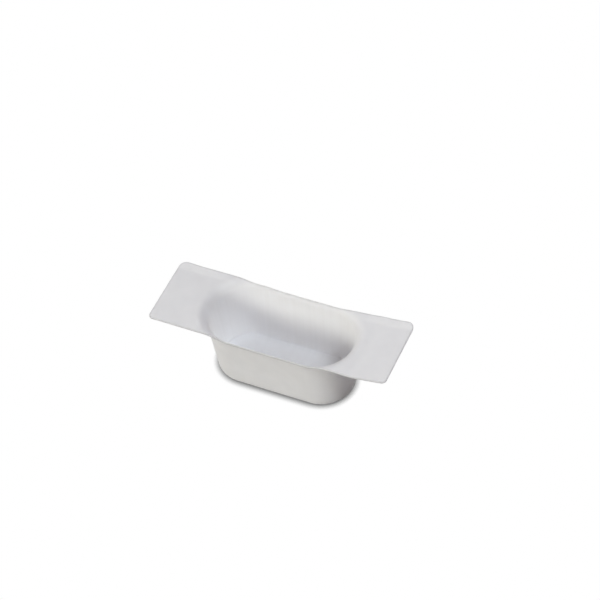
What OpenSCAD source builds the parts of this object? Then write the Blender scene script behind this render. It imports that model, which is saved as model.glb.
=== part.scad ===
// Small weighing boat: one thin plastic sheet, formed into a deep pan with
// round ends. What is left of the sheet is a straight strip, with a grip tab
// past each end of the pan. The strip's long edges are cut so close to the pan
// that they run through the bend at its lip, so they dip along its sides. One
// tab is bent up a little, as it is after being held.
// X runs along the strip, Z up. The origin is the middle of the base's underside.

/* [Sheet] */
// Thickness of the sheet
sheet_t = 0.25; // [0.15:0.05:0.4]

/* [Pan] */
// Outside length of the base, measured to where the walls would meet it
base_l = 20.6; // [16:0.2:40]
// Outside width of the base, and so the diameter of its round ends
base_w = 9.3; // [7:0.1:15]
// Height from the underside of the base to the top of the strip
pan_h = 10.4; // [6:0.2:16]
// Lean of the walls away from upright
draft = 5; // [1:0.2:15]
// Outside radius of the bend from base to wall
base_r = 0.5; // [0.45:0.05:1.5]
// Outside radius of the bend from wall to strip
lip_r = 1.3; // [0.5:0.05:2]

/* [Strip] */
// How far each long edge of the strip stands out past the top of the pan's wall
rim_reach = 0.15; // [0.05:0.05:5]
// Length of a grip tab, from the pan's lip to the end of the strip
tab_l = 5.7; // [4:0.1:15]
// Radius of the strip's corners
corner_r = 0.9; // [0.5:0.1:3]

/* [Bent tab] */
// Flat stretch between the pan's lip and the bend
bend_gap = 0.1; // [0.1:0.1:2]
// Radius of the bend, on the upper side of the sheet
bend_r = 6; // [1:0.5:8]
// Angle that the tab is lifted by
tab_lift = 10.5; // [1:0.5:30]

/* [Hidden] */
$fn = 96;
// straight steps that a bend or a corner is drawn in
arc_steps = 12;
// middle of the bend from base to wall, measured out from the pan's middle line
foot = [base_w / 2 + base_r * tan(draft) - base_r / cos(draft), base_r];
// middle of the bend from wall to strip, outside the wall and under the strip
lip_z = pan_h - sheet_t - lip_r;
lip = [base_w / 2 + lip_z * tan(draft) + lip_r / cos(draft), lip_z];
// straight stretch of the pan, between the middles of its round ends
straight_l = base_l - base_w;
// half length of the pan with its lip, and of the whole strip
lip_end = straight_l / 2 + lip.x;
strip_end = lip_end + tab_l;
// half width of the strip, from the outside of the wall where its lip begins
strip_side = lip.x - lip_r * cos(draft) + rim_reach;
// reach of the uncut sheet from the middle of a round end, past the strip's corners
blank_reach = lip.x + tab_l + strip_side;
// where the bent tab begins, and how far its bend reaches from there
bend_x = lip_end + bend_gap;
bend_middle = [bend_x, pan_h + bend_r];
// height of the blocks that cut the outline, clear of the sheet above and below
cut_h = pan_h + 2 * tab_l;

// Points round an arc, from one angle to another
function arc(middle, radius, from, to) = [
    for (i = [0 : arc_steps])
        let (angle = from + (to - from) * i / arc_steps)
        middle + radius * [cos(angle), sin(angle)]
];

function reversed(points) = [for (i = [len(points) - 1 : -1 : 0]) points[i]];

// One side of the sheet's section, from the pan's middle line outwards. At depth 0
// it is the outside and underside, at depth sheet_t the inside and upper side.
function pan_side(depth) = concat(
    [[0, depth]],
    arc(foot, base_r - depth, -90, -draft),
    arc(lip, lip_r + depth, 180 - draft, 90),
    [[blank_reach, pan_h - sheet_t + depth]]
);

// One side of the bent tab's section: the end of the flat, the bend, and the
// lifted flat, which runs on past the end of the strip
function tab_side(radius) = concat(
    arc(bend_middle, radius, -90, -90 + tab_lift),
    [bend_middle + radius * [sin(tab_lift), -cos(tab_lift)]
        + 2 * tab_l * [cos(tab_lift), sin(tab_lift)]]
);

// Half the section of the pan, with the sheet running on all round it
module pan_section() {
    polygon(concat(pan_side(0), reversed(pan_side(sheet_t))));
}

// The pan formed in its sheet: a straight stretch and two round ends
module formed_sheet() {
    rotate([90, 0, 90])
        linear_extrude(straight_l, center = true) {
            pan_section();
            mirror([1, 0]) pan_section();
        }
    for (side = [-1, 1])
        translate([side * straight_l / 2, 0, 0])
            rotate([0, 0, -90 * side])
                rotate_extrude(angle = 180) pan_section();
}

// The sheet past the bend line, bent up as one flat band
module bent_sheet() {
    rotate([90, 0, 0])
        linear_extrude(2 * blank_reach, center = true)
            polygon(concat(tab_side(bend_r + sheet_t), reversed(tab_side(bend_r))));
}

// The strip's outline from above, with its four round corners
module strip_outline() {
    corner = [strip_end - corner_r, strip_side - corner_r];
    polygon(concat(
        arc(corner, corner_r, 0, 90),
        arc([-corner.x, corner.y], corner_r, 90, 180),
        arc(-corner, corner_r, 180, 270),
        arc([corner.x, -corner.y], corner_r, 270, 360)
    ));
}

module boat() {
    color("whitesmoke")
        intersection() {
            union() {
                difference() {
                    formed_sheet();
                    translate([bend_x, -blank_reach, 0])
                        cube([2 * blank_reach, 2 * blank_reach, cut_h]);
                }
                bent_sheet();
            }
            translate([0, 0, -tab_l]) linear_extrude(cut_h) strip_outline();
        }
}

boat();
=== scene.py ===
import math

import bmesh
import bpy
import numpy as np
from mathutils import Matrix, Vector


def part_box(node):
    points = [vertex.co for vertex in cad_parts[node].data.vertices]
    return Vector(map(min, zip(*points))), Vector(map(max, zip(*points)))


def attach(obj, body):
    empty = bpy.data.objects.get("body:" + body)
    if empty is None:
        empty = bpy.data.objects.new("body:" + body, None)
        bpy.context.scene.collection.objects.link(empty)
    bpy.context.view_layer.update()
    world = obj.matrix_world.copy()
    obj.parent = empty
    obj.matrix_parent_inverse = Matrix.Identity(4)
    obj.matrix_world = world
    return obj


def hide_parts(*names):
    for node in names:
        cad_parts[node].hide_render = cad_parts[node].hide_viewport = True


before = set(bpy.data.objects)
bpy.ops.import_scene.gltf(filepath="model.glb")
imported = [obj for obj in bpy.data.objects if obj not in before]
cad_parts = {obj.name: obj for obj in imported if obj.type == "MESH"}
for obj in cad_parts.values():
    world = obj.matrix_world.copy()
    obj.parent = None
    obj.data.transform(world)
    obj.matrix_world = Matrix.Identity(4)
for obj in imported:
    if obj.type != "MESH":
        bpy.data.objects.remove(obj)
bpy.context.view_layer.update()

# ------------------------------------------------------------------ the camera
# It looks down on the boat from its right, a little rolled, through a long lens.

camera_turn = math.radians(29.3)
camera_height = math.radians(49.4)
camera_roll = math.radians(-7)
camera_distance = 0.3143
# how far the middle of the view lies right of the boat's origin, and above it
aim_right, aim_up = 0.00186, 0.0098

back = Vector((math.sin(camera_turn) * math.cos(camera_height),
               -math.cos(camera_turn) * math.cos(camera_height),
               math.sin(camera_height)))
level = Vector((math.cos(camera_turn), math.sin(camera_turn), 0))
rise = back.cross(level)
right = level * math.cos(camera_roll) + rise * math.sin(camera_roll)
up = rise * math.cos(camera_roll) - level * math.sin(camera_roll)

camera_data = bpy.data.cameras.new("camera")
camera_data.lens = 132
camera_data.clip_start = 0.01
camera = bpy.data.objects.new("camera", camera_data)
stands_at = right * aim_right + up * aim_up + back * camera_distance
camera.matrix_world = Matrix.Translation(stands_at) @ Matrix((right, up, back)).transposed().to_4x4()
bpy.context.scene.collection.objects.link(camera)
bpy.context.scene.camera = camera

# -------------------------------------------------------------------- the boat
# One thin sheet of white plastic that lets some light through. It was pressed hot into
# a deep pan with round ends, then cut to a straight strip, so narrow that its long edges
# run through the bend at the pan's lip. The strip's ends are the grip tabs.

mm = 0.001
# half the strip's length and width, those of the solid that this piece stands for
strip_end, strip_side, _ = (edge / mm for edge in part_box("boat")[1])
# how round the corners of the near long edge are, and those of the far one
near_corner_r, far_corner_r = 0.65, 1.15
# in millimetres: the sheet's thickness, the base outside and the pan's depth, the lean of its
# walls, the bends at base and lip, the bend of the right tab and how far past the lip it
# starts, and how round the cut edge is
sheet_t = 0.25
base_l, base_w, pan_h = 20.6, 9.3, 10.4
wall_lean = math.radians(5)
base_r, lip_r = 0.5, 1.3
bend_r, tab_angle = 6.0, math.radians(10.5)
bend_gap = 0.1
edge_round = 0.04
# the band along each tab's far edge, turned up by the cut: its width, its soft first step
# and the slope from there to the edge; it fades out beside the pan
band_width, step_width, step_rise, band_slope = 1.5, 0.9, 0.042, 0.06
band_fades, band_is_full = 8.5, 14.5
# slow waves that handling left in the far edge: place along it, half width and height;
# they start at this share of the way from the middle line to the edge
wave_place, wave_width, wave_height = np.array(
    [[-14.3, 3.2, -0.165], [-5.1, 1.9, 0.22], [8.5, 1.9, -0.175], [13.2, 1.5, 0.22]]).T
waves_start = 0.25

# half the straight stretch of the pan, between the middles of its round ends
straight = (base_l - base_w) / 2
# middles of the bends from base to wall and from wall to strip, in the sheet's section
foot = np.array([base_w / 2 + base_r * math.tan(wall_lean) - base_r / math.cos(wall_lean), base_r])
lip_z = pan_h - sheet_t - lip_r
lip = np.array([base_w / 2 + lip_z * math.tan(wall_lean) + lip_r / math.cos(wall_lean), lip_z])
bend_x = straight + lip[0] + bend_gap


def long_edge(end):
    """Where the points of a long edge lie along it, from the corner at one end to the other.
    Beside the pan they are the same on both edges, so that their columns meet in its middle."""
    tab_points, pan_points = 47, 46
    tab = np.linspace(end, straight, tab_points)[1:-1]
    return np.concatenate([tab, np.linspace(straight, -straight, pan_points), -tab[::-1]])


def strip_outline(inset):
    """The strip's outline, set inwards: a rectangle with a quarter circle at each corner.
    It runs anticlockwise, with points every quarter of a millimetre or so."""
    corner_points, end_points = 11, 31
    near_x, far_x = strip_end - near_corner_r, strip_end - far_corner_r
    near_y, far_y = near_corner_r - strip_side, strip_side - far_corner_r
    turn = np.linspace(0, np.pi / 2, corner_points)
    arc = np.column_stack([np.cos(turn), np.sin(turn)])
    right_end = np.linspace([strip_end - inset, near_y], [strip_end - inset, far_y], end_points)[:-1]
    far_corner = [far_x, far_y] + (far_corner_r - inset) * arc
    near_corner = [near_x, near_y] + (near_corner_r - inset) * arc[::-1] * [1, -1]
    far_edge, near_edge = long_edge(far_x), -long_edge(near_x)
    far_side = np.column_stack([far_edge, np.full_like(far_edge, strip_side - inset)])
    near_side = np.column_stack([near_edge, np.full_like(near_edge, inset - strip_side)])
    mirrored = [-1, 1]
    return np.vstack([right_end[1:], far_corner, far_side, far_corner[::-1] * mirrored,
                      right_end[:0:-1] * mirrored, near_corner[::-1] * mirrored, near_side, near_corner])


def section(path, depth):
    """A line in the sheet's section, at a depth above its underside. The path runs outwards:
    0 to 1 along the flat base, to 2 round the bend at its foot, to 3 up the straight wall,
    to 4 round the bend at the lip, then in millimetres along the flat strip. Each bend is a
    circle's arc. Gives the distance from the pan's middle line and the height."""
    foot_turn = -np.pi / 2 + (np.pi / 2 - wall_lean) * np.clip(path - 1, 0, 1)
    lip_turn = np.pi - wall_lean - (np.pi / 2 - wall_lean) * np.clip(path - 3, 0, 1)
    at_foot = foot + (base_r - depth) * np.stack([np.cos(foot_turn), np.sin(foot_turn)], -1)
    at_lip = lip + (lip_r + depth) * np.stack([np.cos(lip_turn), np.sin(lip_turn)], -1)
    up_wall = np.clip(path - 2, 0, 1)[..., None]
    point = at_foot * (1 - up_wall) + at_lip * up_wall
    point[..., 0] *= np.clip(path, 0, 1)
    point[..., 0] += np.clip(path - 4, 0, None)
    return point


def path_at(reach, depth):
    """The path value at which a line of the section has that distance from the middle line,
    from the bend at the lip outwards: section() turned round."""
    lean = np.arccos(np.clip((lip[0] - reach) / (lip_r + depth), 0, 1))
    return np.where(reach > lip[0], 4 + reach - lip[0], 3 + (lean - wall_lean) / (np.pi / 2 - wall_lean))


def bent_up(x, depth):
    """How far the bent tab rises: round a circle's arc from the bend line, then straight on."""
    radius = bend_r + sheet_t - depth
    beyond = np.clip(x - bend_x, 0, None)
    round_part = np.clip(beyond, 0, radius * math.sin(tab_angle))
    return radius - np.sqrt(radius ** 2 - round_part ** 2) + (beyond - round_part) * math.tan(tab_angle)


def soft_step(value):
    """From 0 to 1 with a gentle start and end: three squares less two cubes of the value."""
    value = np.clip(value, 0, 1)
    return value ** 2 * (3 - 2 * value)


def on_tab(x):
    """How much of the band there is at that place along the strip: 0 beside the pan, 1 on the
    outer part of a tab, with a soft step between."""
    return soft_step((np.abs(x) - band_fades) / (band_is_full - band_fades))


def turned_up(x, y):
    """How far the far edge's band stands up on the tabs: a soft step, and a ramp whose start
    is rounded to a parabola over the first fifth of the band."""
    into = band_width - (strip_side - y)
    start = band_width / 5
    ramp = np.where(into < start, np.clip(into, 0, None) ** 2 / (2 * start), into - start / 2)
    return (step_rise * soft_step(into / step_width) + band_slope * ramp) * on_tab(x)


def waved(x, y):
    """How far the slow waves lift the sheet: a bell curve along x for each, growing from
    nothing near the middle line to its full height at the far edge."""
    bells = wave_height * np.exp(-((x[..., None] - wave_place) / wave_width) ** 2)
    return bells.sum(-1) * soft_step((y / strip_side - waves_start) / (1 - waves_start))


# rows of points: out along the upper side, round the cut edge, and back along the underside.
# The inner rows go to the top of the wall, as path values. The outer ones go on from there to
# the outline, as shares of that way, closest together at both of its ends.
base_rows, foot_rows, wall_rows, lip_rows = 5, 8, 8, 65
inner_rows = np.concatenate([np.linspace(start, start + 1, count, endpoint=False)
                             for start, count in enumerate((base_rows, foot_rows, wall_rows))])
outer_rows = (1 - np.cos(np.linspace(0, np.pi, lip_rows)))[:, None] / 2
inset_edge, cut_edge = strip_outline(edge_round), strip_outline(0)
spine = np.clip(inset_edge[:, 0], -straight, straight)
outwards = inset_edge - np.column_stack([spine, np.zeros_like(spine)])
reach = np.linalg.norm(outwards, axis=1)
outwards /= reach[:, None]


def sheet_path(depth):
    """The path values of the rows and columns of one side of the sheet."""
    from_the_wall = 3 + outer_rows * (path_at(reach, depth) - 3)
    return np.vstack([np.repeat(inner_rows[:, None], len(reach), 1), from_the_wall])


def sheet_side(depth):
    """One side of the formed sheet as rows of points. Each column goes straight outwards from
    the pan's middle line to a point of the strip's outline. The turned-up band and the waves
    lift only the top quarter of the pan's depth, so that its base stays flat."""
    flat = section(sheet_path(depth), depth)
    x = spine + outwards[:, 0] * flat[..., 0]
    y = outwards[:, 1] * flat[..., 0]
    near_top = soft_step(4 * (flat[..., 1] - depth) / (lip_z + lip_r) - 3)
    height = flat[..., 1] + bent_up(x, depth) + (turned_up(x, y) + waved(x, y)) * near_top
    return np.stack([x, y, height], -1)


upper, under = sheet_side(sheet_t), sheet_side(0)
edge_points = 4
edge_turn = np.linspace(0, np.pi / 2, edge_points)[1:]
edge_out, edge_in = np.sin(edge_turn), edge_round * (1 - np.cos(edge_turn))
edge_rows = [np.column_stack([inset_edge + (cut_edge - inset_edge) * out, upper[-1, :, 2] - drop])
             for out, drop in zip(edge_out, edge_in)]
edge_rows += [np.column_stack([inset_edge + (cut_edge - inset_edge) * out, under[-1, :, 2] + drop])
              for out, drop in zip(edge_out[::-1], edge_in[::-1])]
points = np.concatenate([upper, edge_rows, under[::-1]]) * mm

rows, columns = points.shape[:2]
row, column = np.mgrid[0:rows - 1, 0:columns]
corner = row * columns + column
beside = row * columns + (column + 1) % columns
faces = np.stack([corner, corner + columns, beside + columns, beside], -1).reshape(-1, 4)

boat_mesh = bpy.data.meshes.new("boat_sheet")
boat_mesh.from_pydata(points.reshape(-1, 3), [], faces.tolist())
boat = bpy.data.objects.new("boat_sheet", boat_mesh)
bpy.context.scene.collection.objects.link(boat)

# what the plastic's finish follows, painted light and shade among it, kept with each point:
# the grey line that the cut leaves, and the painted shade under the rim's edge, in a line this wide along
# the outline; the underside takes all of it, the upper side and the cut face the share after it
grey_width, grey_underneath = 0.16, 0.5
place = points / mm
corner_r = np.where(place[..., 1] > 0, far_corner_r, near_corner_r)[..., None]
beyond_corner = np.abs(place[..., :2]) - [strip_end, strip_side] + corner_r
round_the_corner = np.linalg.norm(np.clip(beyond_corner, 0, None), axis=-1)
in_plan = corner_r[..., 0] - round_the_corner - np.minimum(beyond_corner.max(-1), 0)
from_mid_edge = np.abs(place[..., 2] - (upper[-1, :, 2] + under[-1, :, 2]) / 2)
edge_distance = np.hypot(np.clip(in_plan, 0, None), np.clip(from_mid_edge - sheet_t / 2, 0, None))
greyed_and_shaded = np.exp(-(edge_distance / grey_width) ** 2)
greyed_and_shaded[:-len(upper)] *= grey_underneath
# drawn: how much the forming stretched it, from nothing in the middle of the base to all of it on the wall,
# and to nothing again before the bend at the lip ends; from that, painted light: how much paler the pan's
# inside is painted, for light bounced round inside the pan
draw_ends = 3.9
rows_out = sheet_path(sheet_t)
drawn_out = soft_step(rows_out) * soft_step(draw_ends - rows_out)
drawn = np.concatenate([drawn_out, np.repeat(drawn_out[-1:], len(edge_rows), 0), drawn_out[::-1]])
bounce_lightened = drawn ** 2 * (np.arange(rows) < len(upper))[:, None]
# how much lighter the bends are painted, partly whitening of the plastic and partly a painted highlight: all
# along the turned-up band, most of all at its fold, and faintly in a line across the tab that is bent up
fold_width, band_white = 0.35, 0.8
crease_white, crease_width, crease_x = 0.08, 0.6, bend_x + 0.5
from_fold = strip_side - place[..., 1] - band_width + step_width / 2
fold_line = np.exp(-(from_fold / fold_width) ** 2)
on_band = np.where(from_fold < 0, band_white + (1 - band_white) * fold_line, fold_line)
crease = crease_white * np.exp(-((place[..., 0] - crease_x) / crease_width) ** 2)
whitened_and_highlit = np.maximum(on_band * on_tab(place[..., 0]), crease)
# column_start: where its column starts on a ring round the pan's middle line, the same for
# the whole column, so that the fine lines of the draw run down the wall
ring_r = 5
column_start = np.column_stack([spine + ring_r * outwards[:, 0], ring_r * outwards[:, 1], np.zeros(columns)])
for name, values in [("greyed_and_shaded", greyed_and_shaded), ("drawn", drawn), ("bounce_lightened", bounce_lightened), ("whitened_and_highlit", whitened_and_highlit)]:
    attribute = boat_mesh.attributes.new(name, "FLOAT", "POINT")
    attribute.data.foreach_set("value", values.ravel())
attribute = boat_mesh.attributes.new("column_start", "FLOAT_VECTOR", "POINT")
attribute.data.foreach_set("vector", np.broadcast_to(column_start, points.shape).ravel())

# the columns' first points are merged where they meet in the middle of the base
merge_distance, shortest_edge = 1e-7, 1e-8
seam = bmesh.new()
seam.from_mesh(boat_mesh)
bmesh.ops.remove_doubles(seam, verts=seam.verts, dist=merge_distance)
bmesh.ops.dissolve_degenerate(seam, edges=seam.edges, dist=shortest_edge)
seam.to_mesh(boat_mesh)
seam.free()
boat_mesh.polygons.foreach_set("use_smooth", np.ones(len(boat_mesh.polygons), bool))

plastic = bpy.data.materials.new("white_plastic")
plastic.use_nodes = True
nodes, links = plastic.node_tree.nodes, plastic.node_tree.links
shader = nodes["Principled BSDF"]
shader.inputs["Roughness"].default_value = 0.45
shader.inputs["Specular IOR Level"].default_value = 0.25
shader.inputs["Subsurface Weight"].default_value = 1
shader.inputs["Subsurface Radius"].default_value = (1, 0.98, 0.96)
shader.inputs["Subsurface Scale"].default_value = 0.0006
where = nodes.new("ShaderNodeTexCoord")


# the functions below, and those of the bench, add nodes to the material in hand


def kept(name):
    """The output of a node that reads one of the values kept with each point."""
    node = nodes.new("ShaderNodeAttribute")
    node.attribute_name = name
    return node.outputs["Vector" if name == "column_start" else "Fac"]


def noise(vector, scale, detail):
    """A smooth noise, most of it between 0.3 and 0.7. The scale says how many of its spots
    there are to each unit of the vector, and the detail how many finer noises are added."""
    node = nodes.new("ShaderNodeTexNoise")
    node.inputs["Scale"].default_value = scale
    node.inputs["Detail"].default_value = detail
    links.new(vector, node.inputs["Vector"])
    return node.outputs["Fac"]


def stretched(value, low, high, to_low=0.0, to_high=1.0):
    """A value carried from one range to another and kept inside it."""
    node = nodes.new("ShaderNodeMapRange")
    links.new(value, node.inputs["Value"])
    for socket, number in zip(("From Min", "From Max", "To Min", "To Max"), (low, high, to_low, to_high)):
        node.inputs[socket].default_value = number
    return node.outputs["Result"]


def tinted(factor, under_colour, over_colour):
    """One colour over another by a factor. The colour below is a colour or a node's output."""
    node = nodes.new("ShaderNodeMix")
    node.data_type = "RGBA"
    links.new(factor, node.inputs["Factor"])
    # the places of the node's colours among all its inputs and outputs
    below, above, blended = 6, 7, 2
    for socket, colour in ((below, under_colour), (above, over_colour)):
        if isinstance(colour, tuple):
            node.inputs[socket].default_value = (*colour, 1)
        else:
            links.new(colour, node.inputs[socket])
    return node.outputs[blended]


def product(first, second):
    """Two values multiplied."""
    node = nodes.new("ShaderNodeMath")
    node.operation = "MULTIPLY"
    links.new(first, node.inputs[0])
    if isinstance(second, float):
        node.inputs[1].default_value = second
    else:
        links.new(second, node.inputs[1])
    return node.outputs[0]


cloud_dark, cloud_light = (0.825, 0.825, 0.835), (0.86, 0.86, 0.868)
# the first of these is painted light, the pan's inside made paler for light bounced round within it
bounce_light_white, line_grey = (0.97, 0.97, 0.98), (0.8, 0.8, 0.8)
# the first of these also paints a highlight on the bent band and tab, the second paints shade along the cut,
# darkest under the rim's edge
bend_white_and_highlight, cut_grey_and_shade = (0.98, 0.98, 0.985), (0.47, 0.47, 0.48)
# noises per metre, and per millimetre for the lines, whose place is kept in millimetres
clouds_per_m, grain_per_m, lines_per_mm = 420, 7000, 1.4
# the range that most of a noise keeps to, and the part of it that makes the lines
noise_low, noise_high, lines_low, lines_high = 0.3, 0.7, 0.4, 0.75
line_strength = 0.2
grain_smooth, grain_rough, grain_depth = 0.4, 0.5, 0.000004
# the sheet's own faint clouding, 2 mm and more across
clouds = noise(where.outputs["Object"], clouds_per_m, detail=4)
colour = tinted(stretched(clouds, noise_low, noise_high), cloud_dark, cloud_light)
# painted light: the pan's inside is painted paler where the sheet was drawn, for light bounced round inside
# it, with lines of the draw down it
colour = tinted(kept("bounce_lightened"), colour, bounce_light_white)
line_noise = noise(kept("column_start"), lines_per_mm, detail=2)
draw_lines = product(stretched(line_noise, lines_low, lines_high), kept("drawn"))
colour = tinted(product(draw_lines, line_strength), colour, line_grey)
# bends whiten the plastic, and the bent band and tab are painted lighter as a painted highlight; along the
# cut it is greyer, with painted shade on the underside under the rim's edge
colour = tinted(kept("whitened_and_highlit"), colour, bend_white_and_highlight)
colour = tinted(kept("greyed_and_shaded"), colour, cut_grey_and_shade)
links.new(colour, shader.inputs["Base Color"])
# a matt skin with a fine grain a tenth of a millimetre across
grain = noise(where.outputs["Object"], grain_per_m, detail=2)
roughness = stretched(grain, noise_low, noise_high, grain_smooth, grain_rough)
links.new(roughness, shader.inputs["Roughness"])
bump = nodes.new("ShaderNodeBump")
bump.inputs["Distance"].default_value = grain_depth
links.new(grain, bump.inputs["Height"])
links.new(bump.outputs["Normal"], shader.inputs["Normal"])
boat_mesh.materials.append(plastic)

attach(boat, "root")
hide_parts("boat")

# ------------------------------------------------------------------- the bench
# A wide white board under the boat, a hair below its base. The camera sees it as plain white,
# so that only the boat's own contact shadow shows on it: the dark line close under the pan.


def seen_directly():
    """1 for the rays that show a surface to the camera, straight or by a shiny or clear one."""
    rays = nodes.new("ShaderNodeLightPath").outputs
    shown = rays["Is Camera Ray"]
    for sent_on in ("Is Glossy Ray", "Is Transmission Ray"):
        either = nodes.new("ShaderNodeMath")
        either.operation = "MAXIMUM"
        links.new(shown, either.inputs[0])
        links.new(rays[sent_on], either.inputs[1])
        shown = either.outputs[0]
    return shown


def mixed(factor, under_shader, over_shader):
    """One shader over another by a factor."""
    node = nodes.new("ShaderNodeMixShader")
    for socket, output in zip(node.inputs, (factor, under_shader.outputs[0], over_shader.outputs[0])):
        links.new(output, socket)
    return node


bench_top = -0.00002
bench_corners = [(x, y, bench_top) for x, y in [(-1, -1), (1, -1), (1, 1), (-1, 1)]]
bench_mesh = bpy.data.meshes.new("bench")
bench_mesh.from_pydata(bench_corners, [], [(0, 1, 2, 3)])
bench = bpy.data.objects.new("bench", bench_mesh)
bpy.context.scene.collection.objects.link(bench)
board = bpy.data.materials.new("white_board")
board.use_nodes = True
nodes, links = board.node_tree.nodes, board.node_tree.links
nodes.remove(nodes["Principled BSDF"])
# what the board sends back to the boat, and what shows of it
lit, seen = nodes.new("ShaderNodeBsdfDiffuse"), nodes.new("ShaderNodeEmission")
lit.inputs["Color"].default_value = (0.35, 0.35, 0.35, 1)
# the contact shadow: how much of the room a point of the board sees within 1.5 mm, from open,
# which is white, down to the crevice under the pan
crevice = nodes.new("ShaderNodeAmbientOcclusion")
crevice.inputs["Distance"].default_value = 0.0015
crevice.samples = 16
shade = nodes.new("ShaderNodeMapRange")
shade.inputs["From Min"].default_value = 0.44
shade.inputs["From Max"].default_value = 0.82
shade.inputs["To Min"].default_value = 0.25
shade.inputs["To Max"].default_value = 1
links.new(crevice.outputs["AO"], shade.inputs["Value"])
links.new(shade.outputs["Result"], seen.inputs["Color"])
seen_as = mixed(seen_directly(), lit, seen)
links.new(seen_as.outputs[0], nodes["Material Output"].inputs["Surface"])
bench_mesh.materials.append(board)

# ------------------------------------------------------------------- the light
# Three soft lamps: a bright one low in front, a little to the left, one higher up on the
# right, and a weaker one behind on the left. The dim room round them is a little warm, and
# the camera sees it as white.


def soft_lamp(name, turn, height, strength, colour):
    """A square lamp aimed at the boat, turned about it from the front towards its right and
    raised above the bench. Its strength is what it adds to the brightness of a white surface
    that faces it."""
    distance, edge = 0.6, 0.2
    data = bpy.data.lights.new(name, "AREA")
    data.size = edge
    data.color = colour
    data.energy = strength * math.pi ** 2 * distance ** 2
    lamp = bpy.data.objects.new(name, data)
    place = Vector((math.sin(turn) * math.cos(height), -math.cos(turn) * math.cos(height), math.sin(height)))
    lamp.location = place * distance
    lamp.rotation_euler = place.to_track_quat("Z", "Y").to_euler()
    bpy.context.scene.collection.objects.link(lamp)


soft_lamp("front_softbox", math.radians(-24), math.radians(25), 0.559, (0.993, 1, 0.922))
soft_lamp("right_softbox", math.radians(75), math.radians(60), 0.438, (0.938, 1, 1.072))
soft_lamp("back_softbox", math.radians(-135), math.radians(40), 0.175, (0.97, 1, 1.05))

world = bpy.data.worlds.new("room")
bpy.context.scene.world = world
world.use_nodes = True
nodes, links = world.node_tree.nodes, world.node_tree.links
room = nodes["Background"]
room.inputs["Color"].default_value = (1, 0.7, 0.66, 1)
room.inputs["Strength"].default_value = 0.115
white = nodes.new("ShaderNodeBackground")
white.inputs["Strength"].default_value = 1
seen_as = mixed(seen_directly(), room, white)
links.new(seen_as.outputs[0], nodes["World Output"].inputs["Surface"])
bpy.context.scene.view_settings.view_transform = "Standard"
